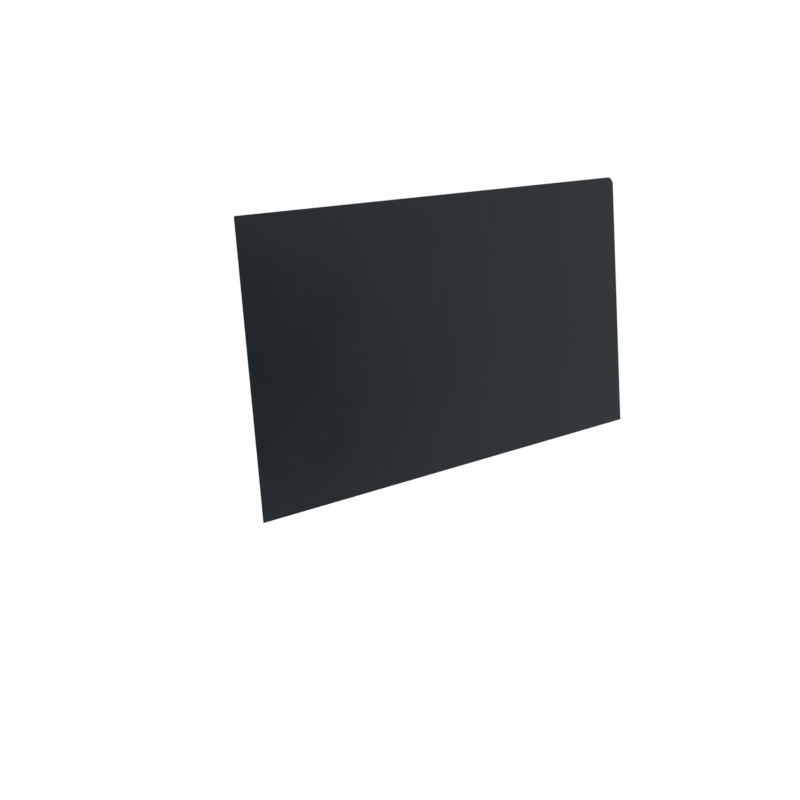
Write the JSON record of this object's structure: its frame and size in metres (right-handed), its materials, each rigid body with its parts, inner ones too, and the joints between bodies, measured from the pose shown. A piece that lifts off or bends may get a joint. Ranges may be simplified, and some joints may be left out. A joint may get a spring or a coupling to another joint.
{
  "type": "monitor privacy filter",
  "caption": "Thin flat sheet of dark louvre film with a rounded top corner, laid over a widescreen monitor to hide the picture from people at its sides.",
  "frame": {"origin": "middle of the back face, on the surface that the sheet lies on", "axes": "+X along the width to the viewer's right, +Y towards the top edge, +Z out of the matte front face"},
  "size_m": [0.531, 0.299, 0.0005],
  "materials": {
    "louvre_film": "matte front, satin back"
  },
  "bodies": {
    "root": {"filter_sheet": "louvre_film"}
  },
  "joints": []
}
